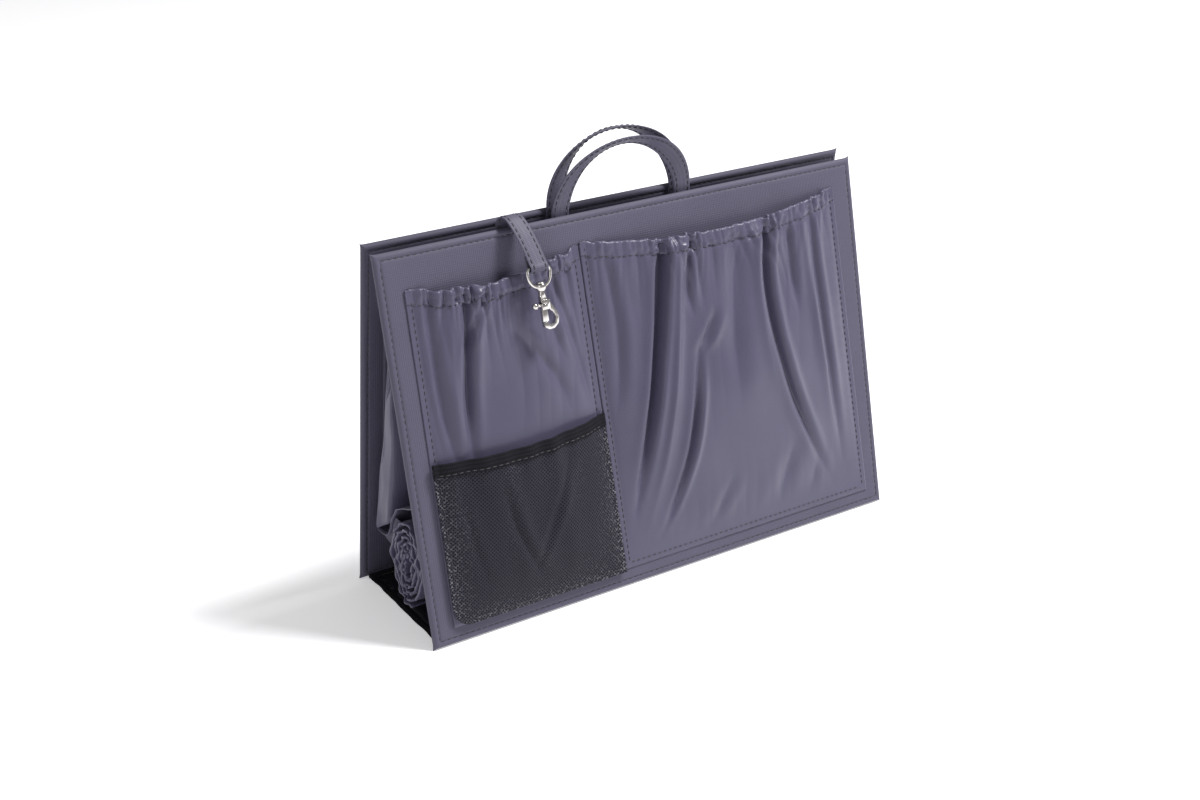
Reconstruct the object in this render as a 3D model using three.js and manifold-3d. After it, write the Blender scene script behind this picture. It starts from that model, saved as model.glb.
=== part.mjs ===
// A stand-up organiser that drops into a tote bag: two stiff panels covered in nylon, joined along
// their feet by a folding mesh base, with gathered pockets, two carrying loops and a key clasp.
// Millimetres, +Z up. X runs along the panels, -Y is the front, and the origin is on the floor
// under the middle of the base.
import * as THREE from 'three';
import { mergeVertices } from 'three/addons/utils/BufferGeometryUtils.js';
import Module from 'manifold-3d';

const wasm = await Module();
wasm.setup();

// ---------------------------------------------------------------- driving dimensions

const WIDTH = 343;
const HEIGHT = 235;
const BASE_DEPTH = 105.3;
const FRONT_LEAN = THREE.MathUtils.degToRad(12.66);
const BACK_LEAN = THREE.MathUtils.degToRad(9.09);

const GAP = 0.3;                  // between pieces that lie on each other
const CLOTH = 0.9;                // one layer of cloth, with its coating
const BOARD = 2.2;
const PANEL = BOARD + 2 * CLOTH + 2 * GAP;
const CORNER = 2;

const HEM = 9.5;                  // height of a pocket's elastic casing
const HEM_DEPTH = 3.6;
const ELASTIC = 1.2;

const BEAD = 1.5;                 // radius of the bound seam at each panel's foot
const BASE_END = 167;             // half length of the base
const BASE_HEM = 9;
const BASE_HEM_THICK = 2;

const STRAP = 12;
const STRAP_THICK = 1.6;
const HANDLE_X = -2.5;
const HANDLE_HALF = 44;
const HANDLE_RISE = 40;
const HANDLE_STANDS_OFF = 1.2;    // height of a loop's first point over the panel's top edge

const KEY_X = -84;
const KEY_DRIFT = 6;
const WIRE = 1;                   // radius of the clasp's bow

const COLOUR = {
  cloth: '#646174', lining: '#5b5868', pocket: '#716f7d', mesh: '#2c2b33',
  binding: '#1f1e25', board: '#3a3a3e', elastic: '#26252b', steel: '#c9c8cc', mat: '#5c5a6b',
};

// ---------------------------------------------------------------- making solids

const lerp = THREE.MathUtils.lerp;
const smoothstep = THREE.MathUtils.smoothstep;

// A sheet is a box cut into a grid, whose every point (s across, t along, w through) is placed.
function sheet(across, along, place) {
  const geometry = new THREE.BoxGeometry(1, 1, 1, across, along, 1);
  const point = geometry.attributes.position;
  for (let i = 0; i < point.count; i += 1) {
    const [x, y, z] = place(point.getX(i) + 0.5, point.getY(i) + 0.5, point.getZ(i) + 0.5);
    point.setXYZ(i, x, y, z);
  }
  return geometry;
}

function block(x0, x1, y0, y1, z0, z1) {
  return sheet(1, 1, (s, t, w) => [lerp(x0, x1, s), lerp(y0, y1, t), lerp(z0, z1, w)]);
}

function extrude(points, depth, z0 = 0) {
  const shape = new THREE.Shape(points.map(([x, y]) => new THREE.Vector2(x, y)));
  const geometry = new THREE.ExtrudeGeometry(shape, { depth, bevelEnabled: false });
  return geometry.translate(0, 0, z0);
}

function solid(geometry) {
  const bare = geometry.clone();
  bare.deleteAttribute('normal');
  bare.deleteAttribute('uv');
  const merged = mergeVertices(bare, 1e-4);
  return new wasm.Manifold(new wasm.Mesh({
    numProp: 3,
    vertProperties: new Float32Array(merged.attributes.position.array),
    triVerts: new Uint32Array(merged.index.array),
  }));
}

function geometryOf(body) {
  const { numProp, vertProperties, triVerts } = body.getMesh();
  const positions = new Float32Array((vertProperties.length / numProp) * 3);
  for (let i = 0; i < positions.length / 3; i += 1) {
    positions.set(vertProperties.subarray(i * numProp, i * numProp + 3), i * 3);
  }
  const geometry = new THREE.BufferGeometry();
  geometry.setAttribute('position', new THREE.BufferAttribute(positions, 3));
  geometry.setIndex(new THREE.BufferAttribute(new Uint32Array(triVerts), 1));
  return geometry;
}

function joined(first, ...others) {
  return geometryOf(others.reduce((sum, next) => sum.add(solid(next)), solid(first)));
}

function cut(first, ...others) {
  return geometryOf(others.reduce((rest, next) => rest.subtract(solid(next)), solid(first)));
}

// ---------------------------------------------------------------- the scene graph

const organiser = new THREE.Group();

function add(parent, name, geometry, colour, metalness = 0) {
  const roughness = metalness ? 0.25 : 0.7;
  const material = new THREE.MeshStandardMaterial({ color: colour, roughness, metalness });
  const mesh = new THREE.Mesh(geometry, material);
  mesh.name = name;
  parent.add(mesh);
  return mesh;
}

// Each panel is drawn lying in its own plane: x along it, y up it from its foot, z out of its
// outer face. z = 0 is the lining's surface, so what is inside the organiser has z below 0.
// The lining's lowest edge stands on the floor.
const front = new THREE.Group();
front.position.y = -BASE_DEPTH / 2 + PANEL * Math.cos(FRONT_LEAN);
front.rotation.x = Math.PI / 2 - FRONT_LEAN;
organiser.add(front);

const back = new THREE.Group();
back.position.y = BASE_DEPTH / 2 - PANEL * Math.cos(BACK_LEAN);
back.rotation.set(Math.PI / 2 - BACK_LEAN, 0, Math.PI, 'ZYX');
organiser.add(back);

// ---------------------------------------------------------------- panels

function roundedPlate(inset, z0, z1) {
  const x = WIDTH / 2 - inset;
  const y = HEIGHT - inset;
  const r = Math.max(CORNER - inset, 0.4);
  const shape = new THREE.Shape();
  shape.moveTo(-x + r, inset);
  shape.lineTo(x - r, inset);
  shape.absarc(x - r, inset + r, r, -Math.PI / 2, 0);
  shape.absarc(x - r, y - r, r, 0, Math.PI / 2);
  shape.absarc(-x + r, y - r, r, Math.PI / 2, Math.PI);
  shape.absarc(-x + r, inset + r, r, Math.PI, Math.PI * 1.5);
  const settings = { depth: z1 - z0, bevelEnabled: false, curveSegments: 3 };
  return new THREE.ExtrudeGeometry(shape, settings).translate(0, 0, z0);
}

// The cover is a tray that wraps the board's edges. The board and the lining lie inside it.
function panel(parent, side) {
  const inset = CLOTH + GAP;
  const cover = cut(roundedPlate(0, 0, PANEL), roundedPlate(CLOTH, -1, PANEL - CLOTH));
  add(parent, `${side}_cover`, cover, COLOUR.cloth);
  add(parent, `${side}_board`, roundedPlate(inset, CLOTH + GAP, CLOTH + GAP + BOARD), COLOUR.board);
  add(parent, `${side}_lining`, roundedPlate(inset, 0, CLOTH), COLOUR.lining);
}

panel(front, 'front');
panel(back, 'back');

// ---------------------------------------------------------------- pockets

// How far a gathered pocket stands off what it is sewn to, over its width s and height t. It is
// fullest low down, and its mouth is drawn in by the elastic.
function fullness(s, t, belly, mouth, bays = 1) {
  const across = Math.abs(Math.sin(Math.PI * bays * THREE.MathUtils.clamp(s, 0, 1))) ** 0.7;
  const rise = Math.sin(Math.min(Math.max(t, 0) / 0.45, 1) * Math.PI / 2);
  return across * lerp(belly * rise, mouth, smoothstep(t, 0.45, 1));
}

// A pocket's outline: side edges x(v), top edge v(s), bottom edge v, and its surface z(s, v).
const largePocket = {
  left: (v) => lerp(-36.2, -39.9, v / 218), right: (v) => lerp(159.5, 154.6, v / 218),
  bottom: 11, top: (s) => 220 - 10 * Math.sin(Math.PI * s) ** 0.8, across: 16, along: 8,
  surface: (s, v) => PANEL + GAP + fullness(s, (v - 11) / 206, 13, 8),
};
const smallPocket = {
  left: (v) => lerp(-157.5, -156, v / 218), right: (v) => lerp(-37.1, -40.8, v / 218),
  bottom: 10, top: (s) => lerp(214, 219, s) - 8.5 * Math.sin(Math.PI * s) ** 0.8, across: 12, along: 8,
  surface: (s, v) => PANEL + GAP + fullness(s, (v - 10) / 204, 7.2, 6.8),
};
const BAND_WALL = 1.5;            // the folded elastic band on the mesh pocket's top edge
const BAND_SLOT = 0.7;
const meshPocket = {
  left: smallPocket.left, right: smallPocket.right,
  bottom: 10, top: (s) => lerp(109, 112.5, s), across: 12, along: 10,
  surface: (s, v) => smallPocket.surface(s, v) + CLOTH + BAND_WALL + 2 * GAP
    + fullness(s, (v - 10) / 102, 6, 6.2),
};
const outerBackPocket = {
  left: () => -157, right: () => 157,
  bottom: 11, top: (s) => 206 - 6 * Math.abs(Math.sin(2 * Math.PI * s)) ** 0.8, across: 20, along: 7,
  surface: (s, v) => PANEL + GAP + fullness(s, (v - 11) / 192, 9, 7, 2),
};
const innerBackPocket = {
  left: () => -158, right: () => 158,
  bottom: 50, top: () => 200, across: 12, along: 4,
  surface: (s, v) => -GAP - CLOTH - fullness(s, (v - 50) / 150, 3.2, 6.5),
};

// A sheet that follows a pocket's surface from v0(s) to v1(s), and from z0 to z1 over it. It can
// start before, and end after, the pocket's side edges by 'beyond' of its width.
function onPocket(pocket, v0, v1, z0, z1, along, beyond = 0) {
  return sheet(pocket.across, along, (part, t, w) => {
    const s = lerp(-beyond, 1 + beyond, part);
    const inside = THREE.MathUtils.clamp(s, 0, 1);
    const v = lerp(v0(inside), v1(inside), t);
    return [lerp(pocket.left(v), pocket.right(v), s), v, pocket.surface(inside, v) + lerp(z0, z1, w)];
  });
}

function pocketCloth(pocket) {
  return onPocket(pocket, () => pocket.bottom, pocket.top, 0, CLOTH, pocket.along);
}

// The cloth's top is turned over into a casing, open at both ends, and the elastic lies in it.
function gatheredPocket(parent, name, elasticName, pocket) {
  const top = (drop) => (s) => pocket.top(s) - drop;
  const wall = 1.1;
  const casing = onPocket(pocket, top(HEM), pocket.top, 0, HEM_DEPTH, 1);
  const bore = onPocket(pocket, top(HEM - wall), top(wall), CLOTH, HEM_DEPTH - CLOTH, 1, 0.01);
  const cloth = cut(joined(pocketCloth(pocket), casing), bore);
  add(parent, name, cloth, COLOUR.pocket);
  const inner = wall + 2 * GAP;
  const elastic = onPocket(pocket, top(HEM - inner), top(inner), CLOTH + GAP, CLOTH + GAP + ELASTIC, 1, -0.01);
  add(parent, elasticName, elastic, COLOUR.elastic);
}

gatheredPocket(front, 'large_pocket', 'large_pocket_elastic', largePocket);
gatheredPocket(front, 'small_pocket', 'small_pocket_elastic', smallPocket);
gatheredPocket(back, 'back_outer_pocket', 'back_outer_elastic', outerBackPocket);

// The mesh pocket's top edge is gripped by a folded band of elastic.
const MESH_BAND = 8;
const bandTop = (s) => meshPocket.top(s) + 1.4;
const meshTop = (drop) => (s) => meshPocket.top(s) - drop;
add(front, 'mesh_pocket', pocketCloth(meshPocket), COLOUR.mesh);
add(front, 'mesh_pocket_binding', cut(
  onPocket(meshPocket, meshTop(MESH_BAND - 1.4), bandTop, -BAND_WALL, CLOTH + BAND_WALL, 2),
  onPocket(meshPocket, meshTop(MESH_BAND + 2), meshTop(-GAP), -BAND_SLOT, CLOTH + BAND_SLOT, 2, 0.01),
), COLOUR.binding);

add(back, 'back_inner_pocket', joined(
  pocketCloth(innerBackPocket),
  onPocket(innerBackPocket, () => 191, () => 200, -1.3, CLOTH, 1),
), COLOUR.lining);

// The bellows pocket hangs inside the front panel, and its foot spreads over the rolled mat. Its
// section is drawn as (distance in from the lining, height up the panel).
const BELLOWS_HALF = 165;
const bellowsOuter = [
  [0.4, 186], [0.4, 83], [24, 81.5], [35, 78], [43.5, 69], [50, 60.5], [56, 56.5],
  [72, 60], [50.5, 99.5], [37, 120], [24.5, 147], [6.2, 186],
];
const bellowsInner = [
  [1.6, 190], [1.6, 84.2], [24.4, 82.7], [35.7, 79.1], [44.5, 69.7], [51, 61.3], [56.4, 57.9],
  [70.2, 60.8], [49.4, 98.8], [35.9, 119.3], [23.4, 146.4], [5, 185.7], [5, 190],
];

// A section drawn as (distance in from the lining, height up the panel), run along the panel.
function alongPanel(section, half) {
  return extrude(section, 2 * half, -half).rotateY(Math.PI / 2);
}

add(front, 'front_inner_pocket', cut(
  alongPanel(bellowsOuter, BELLOWS_HALF),
  alongPanel(bellowsInner, BELLOWS_HALF - CLOTH - GAP),
), COLOUR.pocket);

// ---------------------------------------------------------------- carrying loops

const FOOT_HEIGHT = 26;
const STRAP_MIDDLE = -GAP - STRAP_THICK / 2;  // the sewn feet lie on the lining

function strapFoot(parent, name, x) {
  const half = STRAP / 2;
  const foot = block(x - half, x + half, HEIGHT - FOOT_HEIGHT, HEIGHT, -GAP - STRAP_THICK, -GAP);
  add(parent, name, foot, COLOUR.lining);
}

// One strap, which leaves its feet flat on the panel and turns almost on edge at its crown, where
// it is also folded a little narrower. It leans by 'lean' towards +Y over its height.
function strapLoop(rise, lean) {
  const crownTurn = THREE.MathUtils.degToRad(65);
  return sheet(2, 28, (s, t, w) => {
    const angle = Math.PI * (1 - t);
    const x = HANDLE_HALF * Math.cos(angle);
    const z = rise * Math.sin(angle);
    const out = new THREE.Vector2(Math.cos(angle) / HANDLE_HALF, Math.sin(angle) / rise).normalize();
    const crown = Math.sin(Math.PI * t) ** 2;
    const turn = crownTurn * crown;
    const wide = lerp(STRAP, 10, crown) * (s - 0.5);
    const thick = STRAP_THICK * (w - 0.5);
    const outwards = wide * Math.cos(turn) + thick * Math.sin(turn);
    const across = thick * Math.cos(turn) - wide * Math.sin(turn);
    return [x + outwards * out.x, across + lean * z / rise, z + outwards * out.y];
  });
}

function carryingLoop(parent, name, rise, lean) {
  const loop = add(organiser, name, strapLoop(rise, lean), COLOUR.cloth);
  parent.updateWorldMatrix(true, false);
  const start = parent.localToWorld(new THREE.Vector3(0, HEIGHT + HANDLE_STANDS_OFF, STRAP_MIDDLE));
  loop.position.set(HANDLE_X, start.y, start.z);
}

strapFoot(front, 'front_handle_foot_left', HANDLE_X - HANDLE_HALF);
strapFoot(front, 'front_handle_foot_right', HANDLE_X + HANDLE_HALF);
strapFoot(back, 'back_handle_foot_left', -HANDLE_X + HANDLE_HALF);
strapFoot(back, 'back_handle_foot_right', -HANDLE_X - HANDLE_HALF);
carryingLoop(front, 'front_handle', HANDLE_RISE, -4.7);
carryingLoop(back, 'back_handle', HANDLE_RISE + 2, 3);

// ---------------------------------------------------------------- key strap

// The strap's middle line, as (height up the panel, distance out from the lining): up from its
// sewn foot, over the panel's top edge and down to the eye that holds the clasp's bow.
const EYE = { v: 211.5, z: 21.3, inner: 1.5, outer: 2.6, width: 11.4 };
const keyLine = new THREE.CatmullRomCurve3([
  [236.2, -1.1], [239.8, -0.4], [242.2, 3.4], [240, 8.6], [232.5, 14], [223, 18.3], [213.2, 21.1],
].map(([v, z]) => new THREE.Vector3(0, v, z)));

function keyTail() {
  const strap = sheet(1, 18, (s, t, w) => {
    const point = keyLine.getPoint(t);
    const run = keyLine.getTangent(t);
    const wide = lerp(STRAP, EYE.width, t) * (s - 0.5);
    const thick = STRAP_THICK * (w - 0.5);
    return [KEY_X + KEY_DRIFT * t + wide, point.y - thick * run.z, point.z + thick * run.y];
  });
  const ring = new THREE.Shape().absarc(0, 0, EYE.outer, 0, Math.PI * 2);
  ring.holes.push(new THREE.Path().absarc(0, 0, EYE.inner, 0, Math.PI * 2));
  const settings = { depth: EYE.width, bevelEnabled: false, curveSegments: 8 };
  const eye = new THREE.ExtrudeGeometry(ring, settings)
    .translate(0, 0, -EYE.width / 2)
    .rotateY(Math.PI / 2)
    .translate(KEY_X + KEY_DRIFT, EYE.v, EYE.z);
  return joined(strap, eye);
}

strapFoot(front, 'key_strap_foot', KEY_X);
add(front, 'key_strap_tail', keyTail(), COLOUR.cloth);

// ---------------------------------------------------------------- swivel clasp

// The clasp is drawn hanging from the eye: x across it, -y down it and z through it.
const clasp = new THREE.Group();
clasp.position.set(KEY_X + KEY_DRIFT, EYE.v, EYE.z);
front.add(clasp);

const TURNED = 14;                // sides of the clasp's turned pieces
const PIVOT_Y = -22.6;
const PIN = 0.8;
const GATE_HALF = 1.1;
const BODY_HALF = 1.5;
const CHEEK = 0.7;

function turned(profile) {
  return new THREE.LatheGeometry(profile.map(([r, y]) => new THREE.Vector2(r, y)), TURNED);
}

function throughPin(radius, half) {
  return new THREE.CylinderGeometry(radius, radius, 2 * half, TURNED)
    .rotateX(Math.PI / 2)
    .translate(0, PIVOT_Y, 0);
}

function bow() {
  const left = [[-2.4, -11.4], [-4.8, -10], [-6.9, -7], [-7.5, -4], [-7.5, -1.7], [-6.5, -0.3], [-5, 0]];
  const right = left.map(([x, y]) => [-x, y]).reverse();
  const line = new THREE.CatmullRomCurve3([...left, ...right].map(([x, y]) => new THREE.Vector3(x, y, 0)));
  const section = new THREE.Shape().absarc(0, 0, WIRE, 0, Math.PI * 2);
  const settings = { steps: 40, extrudePath: line, curveSegments: 4 };
  const wire = new THREE.ExtrudeGeometry(section, settings);
  const collar = turned([
    [1.3, -13.6], [2.5, -13.6], [3.3, -12], [3.3, -10.4], [2.9, -9.6], [1.3, -9.6], [1.3, -13.6],
  ]);
  const bore = turned([[0, -14.5], [1.3, -14.5], [1.3, -9], [0, -9]]);
  return cut(joined(wire, collar), bore);
}

function hookBody() {
  const hook = extrude([
    [-1.9, -20.1], [-1.9, -17], [1.9, -17], [2.6, -19.4], [5.2, -22.8], [7.6, -26.8], [8.6, -30.4],
    [7.7, -34], [4.8, -36.4], [1.4, -36.6], [-1.2, -35], [-1.9, -32.1], [1.2, -32.1], [1.9, -33.4],
    [3.5, -34.3], [5.4, -33.3], [6.4, -30.8], [5.9, -28.2], [4.7, -26.4], [3.4, -25.4],
    [3.1, -24.4], [3.1, -20.1],
  ], 2 * BODY_HALF, -BODY_HALF);
  const neck = turned([[0, -17.2], [2.1, -17.2], [2.1, -14], [1.3, -14], [1.3, -16.4], [0, -16.4]]);
  const inner = GATE_HALF + GAP;
  const cheeks = [-inner - CHEEK, inner].map((z) => block(-1.7, 3.5, -24.6, -19, z, z + CHEEK));
  return cut(joined(hook, neck, ...cheeks), throughPin(PIN + GAP, 4));
}

function gateLever() {
  const bar = block(-1.9, 1.8, -31.7, -20.9, -GATE_HALF, GATE_HALF);
  const stem = new THREE.CylinderGeometry(0.9, 0.9, 3.4, TURNED)
    .rotateZ(Math.PI / 2)
    .translate(-3.2, -22, 0);
  const knob = new THREE.SphereGeometry(1.95, TURNED, 8).translate(-5.4, -22, 0);
  return cut(joined(bar, stem, knob), throughPin(PIN + GAP, 4));
}

add(clasp, 'clasp_bow', bow(), COLOUR.steel, 1);
add(clasp, 'swivel_rivet', turned([
  [0, -16], [1, -16], [1, -9.25], [2.3, -9.25], [2.3, -8.8], [2.1, -8.3], [0, -8.3],
]), COLOUR.steel, 1);
add(clasp, 'hook_body', hookBody(), COLOUR.steel, 1);
add(clasp, 'gate_pin', turned([
  [0, -2.9], [1.5, -2.9], [1.5, -2.4], [PIN, -2.4], [PIN, 2.4], [1.5, 2.4], [1.5, 2.9], [0, 2.9],
]).rotateX(Math.PI / 2).translate(0, PIVOT_Y, 0), COLOUR.steel, 1);
add(clasp, 'gate_lever', gateLever(), COLOUR.steel, 1);
add(clasp, 'gate_spring', block(2.1, 2.6, -24.2, -20.6, -0.8, 0.8), COLOUR.steel, 1);

// ---------------------------------------------------------------- folding base

// The base is two strips of mesh that meet at a fold, each sewn to a panel's foot through a bound
// seam. A seam's bead lies on the floor, just inside the lining.
function beadInset(lean) {
  const out = BEAD + GAP;
  const up = (BEAD + out * Math.sin(lean)) / Math.cos(lean);
  return up * Math.sin(lean) + out * Math.cos(lean);
}

const frontBeadY = front.position.y + beadInset(FRONT_LEAN);
const backBeadY = back.position.y - beadInset(BACK_LEAN);
const foldY = (frontBeadY + backBeadY) / 2;

function bead(name, y) {
  const rope = new THREE.CylinderGeometry(BEAD, BEAD, 2 * BASE_END, 12).rotateZ(Math.PI / 2);
  add(organiser, name, rope, COLOUR.binding).position.set(0, y, BEAD);
}

function baseHalf(name, y0, y1) {
  const meshEnd = BASE_END - BASE_HEM - GAP;
  const hemStart = BASE_END - BASE_HEM;
  const hem = (x0, x1) => block(x0, x1, y0, y1, 0, BASE_HEM_THICK);
  add(organiser, name, block(-meshEnd, meshEnd, y0, y1, 0, CLOTH), COLOUR.mesh);
  add(organiser, `${name}_hem_left`, hem(-BASE_END, -hemStart), COLOUR.binding);
  add(organiser, `${name}_hem_right`, hem(hemStart, BASE_END), COLOUR.binding);
}

bead('rear_seam_bead', backBeadY);
bead('front_seam_bead', frontBeadY);
baseHalf('base_rear', foldY + GAP, backBeadY - BEAD - GAP);
baseHalf('base_front', frontBeadY + BEAD + GAP, foldY - GAP);

// ---------------------------------------------------------------- rolled mat

// The mat is rolled into a flattened bundle that leans on the front panel. Its end stands out of
// the organiser's open left side.
const MAT = { start: -168.5, length: 300, y: -11, z: 38, halfTall: 31, halfWide: 21, tilt: 6 };

function rolledMat() {
  const outline = new THREE.Shape();
  outline.absellipse(0, 0, MAT.halfWide, MAT.halfTall, 0, Math.PI * 2, false, 0);
  const settings = { depth: MAT.length, bevelEnabled: false, curveSegments: 20 };
  return new THREE.ExtrudeGeometry(outline, settings)
    .rotateZ(THREE.MathUtils.degToRad(MAT.tilt))
    .applyMatrix4(new THREE.Matrix4().set(0, 0, 1, 0, 1, 0, 0, 0, 0, 1, 0, 0, 0, 0, 0, 1))
    .translate(MAT.start, MAT.y, MAT.z);
}

add(organiser, 'changing_mat', rolledMat(), COLOUR.mat);

export default organiser;
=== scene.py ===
# %% [markdown]
# # A stand-up organiser for a tote bag
# Two stiff cloth panels lean on each other over a soft base. Gathered pockets are sewn on them, two
# carrying loops stand on top, a key clasp hangs in front, and a rolled mat lies inside. The stiff
# boards, the clasp and every joint come from the CAD frame; the cloth is made here.

# %% Load the frame
import math
import bpy
import numpy as np
from mathutils import Matrix, Vector


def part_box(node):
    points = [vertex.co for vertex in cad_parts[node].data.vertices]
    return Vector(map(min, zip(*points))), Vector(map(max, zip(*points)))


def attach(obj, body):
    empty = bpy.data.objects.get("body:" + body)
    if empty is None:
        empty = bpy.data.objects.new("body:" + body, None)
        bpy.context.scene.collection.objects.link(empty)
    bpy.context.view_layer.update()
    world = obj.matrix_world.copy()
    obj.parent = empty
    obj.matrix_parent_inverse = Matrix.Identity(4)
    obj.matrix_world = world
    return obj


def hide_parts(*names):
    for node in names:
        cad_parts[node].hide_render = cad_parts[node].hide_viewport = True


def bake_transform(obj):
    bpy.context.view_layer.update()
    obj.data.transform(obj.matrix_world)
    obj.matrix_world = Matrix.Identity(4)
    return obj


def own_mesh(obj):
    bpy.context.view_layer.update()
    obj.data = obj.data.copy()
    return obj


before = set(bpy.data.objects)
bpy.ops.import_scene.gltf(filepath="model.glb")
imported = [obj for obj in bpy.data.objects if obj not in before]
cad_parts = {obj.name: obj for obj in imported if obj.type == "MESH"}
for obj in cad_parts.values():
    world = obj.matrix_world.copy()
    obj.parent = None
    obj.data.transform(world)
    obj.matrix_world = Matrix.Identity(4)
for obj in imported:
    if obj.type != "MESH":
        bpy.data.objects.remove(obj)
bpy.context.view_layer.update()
bpy.ops.object.select_all(action="DESELECT")

# %% [markdown]
# ## The organiser's own measures
# All numbers are millimetres on a panel: x runs along it, v runs up it from its foot, and n stands
# out of it from the lining. Two small functions turn them into places in the room, so a pocket is
# drawn flat, as its maker cuts it, and leans with its panel.

# %% Driving dimensions
MM = 0.001
WIDTH, HEIGHT, THICK = 343.0, 235.0, 4.6
HALF = WIDTH / 2
FRONT_LEAN, BACK_LEAN = math.radians(12.66), math.radians(9.09)
FRONT_FOOT, BACK_FOOT = -48.162, 48.108
HEM = 9.5
CASING = 1.5
CLOTH = 0.5


def front(x, v, n):
    """A place in the room, in metres, from millimetres on the front panel."""
    y = FRONT_FOOT + v * math.sin(FRONT_LEAN) - n * math.cos(FRONT_LEAN)
    z = v * math.cos(FRONT_LEAN) + n * math.sin(FRONT_LEAN)
    return np.stack(np.broadcast_arrays(x, y, z), axis=-1) * MM


def back(x, v, n):
    """The same for the back panel, whose x runs the other way, as seen from behind."""
    y = BACK_FOOT - v * math.sin(BACK_LEAN) + n * math.cos(BACK_LEAN)
    z = v * math.cos(BACK_LEAN) + n * math.sin(BACK_LEAN)
    return np.stack(np.broadcast_arrays(-np.asarray(x), y, z), axis=-1) * MM


def rise(low, high, value):
    """0 below low, 1 above high and a smooth step between."""
    t = np.clip((value - low) / (high - low), 0, 1)
    return t * t * (3 - 2 * t)


WAVES = 7


def wander(a, b, seed, size):
    """Soft unevenness from -1 to 1, whose bumps are about size millimetres across."""
    draw = np.random.default_rng(seed)
    total = 0
    for _ in range(WAVES):
        turn, phase, stretch = draw.uniform(0, 2 * math.pi, 2).tolist() + [draw.uniform(0.6, 1.6)]
        pull = 2 * math.pi / (size * stretch)
        total = total + np.sin(pull * (a * math.cos(turn) + b * math.sin(turn)) + phase)
    return total / WAVES ** 0.5 / 1.6


print("panel", WIDTH, "x", HEIGHT, "mm")

# %% [markdown]
# ## Camera, floor and light
# A small product table: a white floor, a soft lamp high on the right, a weak one on the left and
# even white light from all round, so that the shadow is soft and falls to the left.

# %% Camera
EYE = Vector((-0.5365, -0.8102, 0.5392))
AIM = Vector((-0.0224, 0.0, 0.1049))
TILT = math.radians(-0.565)
camera = bpy.data.objects.new("camera", bpy.data.cameras.new("camera"))
bpy.context.scene.collection.objects.link(camera)
camera.data.lens = 50.36
camera.data.sensor_width = 36
camera.location = EYE
ahead = (AIM - EYE).normalized()
side = ahead.cross(Vector((0, 0, 1))).normalized()
over = side.cross(ahead)
right = math.cos(TILT) * side + math.sin(TILT) * over
above = math.cos(TILT) * over - math.sin(TILT) * side
camera.rotation_mode = "QUATERNION"
camera.rotation_quaternion = Matrix((right, above, -ahead)).transposed().to_quaternion()
bpy.context.scene.camera = camera
bpy.context.scene.view_settings.view_transform = "Standard"
print("camera at", tuple(EYE))

# %% Lights
def lamp(name, place, aim, size, watts):
    """A round soft lamp at a place, turned towards aim."""
    data = bpy.data.lights.new(name, "AREA")
    data.shape, data.size, data.energy = "DISK", size, watts
    light = bpy.data.objects.new(name, data)
    light.location = place
    light.rotation_mode = "QUATERNION"
    light.rotation_quaternion = (Vector(aim) - Vector(place)).to_track_quat("-Z", "Y")
    bpy.context.scene.collection.objects.link(light)


world = bpy.data.worlds.new("white_room")
bpy.context.scene.world = world
world.use_nodes = True
world.node_tree.nodes["Background"].inputs["Color"].default_value = (1, 1, 1, 1)
world.node_tree.nodes["Background"].inputs["Strength"].default_value = 0.36
MIDDLE = (0, 0, 0.1)
lamp("key_lamp", (1.0, -0.55, 2.1), MIDDLE, 0.6, 76)
lamp("left_fill", (-1.7, -1.0, 0.8), MIDDLE, 1.2, 4)
print("a key lamp, a weak fill lamp and even light")

# %% [markdown]
# ## Finishes
# Colours are the sRGB values a maker reads from a swatch card, turned to linear light by one
# function. Each cloth has its thread spacing, a slow colour change from handling, and its own
# gloss: the covers are matt woven nylon, the pockets thin calendered nylon that shines softly.

# %% Node helpers
def swatch(code):
    """An sRGB hex code as linear red, green, blue and full opacity."""
    levels = [int(code[i:i + 2], 16) / 255 for i in (1, 3, 5)]
    return tuple(c / 12.92 if c <= 0.04045 else ((c + 0.055) / 1.055) ** 2.4 for c in levels) + (1,)


def add(tree, kind, inputs=None, **settings):
    """One node with its settings, its input values and its links from other nodes' sockets."""
    made = tree.nodes.new(kind)
    for key, value in settings.items():
        setattr(made, key, value)
    for key, value in (inputs or {}).items():
        if isinstance(value, bpy.types.NodeSocket):
            tree.links.new(value, made.inputs[key])
        else:
            made.inputs[key].default_value = value
    return made


def blank(name):
    """A new material with only its output and a Principled shader."""
    made = bpy.data.materials.new(name)
    made.use_nodes = True
    return made, made.node_tree, made.node_tree.nodes["Principled BSDF"]


def two_tone(tree, share, low, high):
    """A mix from the swatch low to the swatch high, by a share from another node."""
    mixed = add(tree, "ShaderNodeMix", {"Factor": share}, data_type="RGBA")
    mixed.inputs["A"].default_value, mixed.inputs["B"].default_value = swatch(low), swatch(high)
    return mixed


def cover_with(tree, shader, mixed, height, strength, depth, rough, gloss):
    """Gives a shader its mixed colour, a relief depth metres high, its roughness and its gloss."""
    raised = add(tree, "ShaderNodeBump", {"Height": height, "Strength": strength, "Distance": depth})
    tree.links.new(mixed.outputs["Result"], shader.inputs["Base Color"])
    tree.links.new(raised.outputs["Normal"], shader.inputs["Normal"])
    shader.inputs["Roughness"].default_value = rough
    shader.inputs["Specular IOR Level"].default_value = gloss


# %% Woven cloth
# A wave texture repeats every 2 pi / (20 x scale), so a scale for a spacing in metres is this over it.
WAVE = 2 * math.pi / 20


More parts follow.
